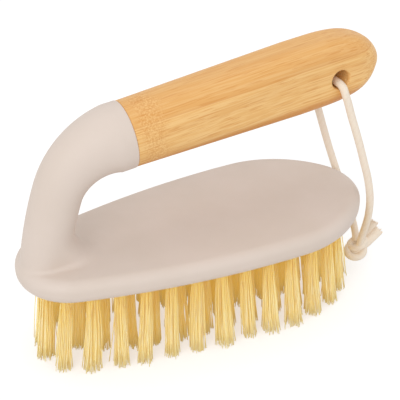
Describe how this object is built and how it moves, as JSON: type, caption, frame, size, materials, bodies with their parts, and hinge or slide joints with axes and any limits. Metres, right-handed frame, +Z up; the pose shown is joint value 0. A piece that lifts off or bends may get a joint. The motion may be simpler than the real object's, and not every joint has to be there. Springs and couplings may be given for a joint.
{
  "type": "scrub brush",
  "caption": "Hand scrub brush: an egg-shaped block on bristle tufts, a bent arm from its heel, a bamboo handle above the block and a hanging loop of cord.",
  "frame": {"origin": "on the surface that the brush stands on, under the middle of the brush without its cord", "axes": "+X from the heel, where the arm rises, to the nose; +Z up from the bristle tips; +Y to the left of someone who looks from heel to nose"},
  "size_m": [0.1694, 0.07, 0.1169],
  "materials": {
    "taupe_plastic": "matt moulded plastic, warm grey",
    "plate_plastic": "matt moulded plastic, warm grey",
    "bristle": "straw-yellow crimped filament",
    "bamboo": "sanded and oiled bamboo",
    "cotton": "undyed twisted cotton",
    "steel": "bright drawn steel"
  },
  "bodies": {
    "brush": {"block_and_arm": "taupe_plastic", "tuft_plate": "plate_plastic", "bamboo_handle": "bamboo", "handle_stud": "steel", "outer_tufts_1": "bristle", "outer_tufts_2": "bristle", "outer_tufts_3": "bristle", "outer_tufts_4": "bristle", "middle_tufts_1": "bristle", "middle_tufts_2": "bristle", "middle_tufts_3": "bristle", "middle_tufts_4": "bristle", "inner_tufts_1": "bristle", "inner_tufts_2": "bristle", "inner_tufts_3": "bristle", "inner_tufts_4": "bristle", "centre_tufts": "bristle", "outer_anchors_1": "steel", "outer_anchors_2": "steel", "outer_anchors_3": "steel", "outer_anchors_4": "steel", "middle_anchors_1": "steel", "middle_anchors_2": "steel", "middle_anchors_3": "steel", "middle_anchors_4": "steel", "inner_anchors_1": "steel", "inner_anchors_2": "steel", "inner_anchors_3": "steel", "inner_anchors_4": "steel", "centre_anchors": "steel"},
    "cord_loop": {"cord_in_eye": "cotton", "cord_front_leg": "cotton", "cord_back_leg": "cotton", "cord_knot": "cotton", "cord_tails": "cotton"}
  },
  "joints": [
    {"name": "loop_swing", "type": "hinge", "parent": "brush", "child": "cord_loop", "pos_m": [0.0583, 0, 0.1008], "axis": [0, -1, 0], "range_deg": [0, 240]}
  ]
}
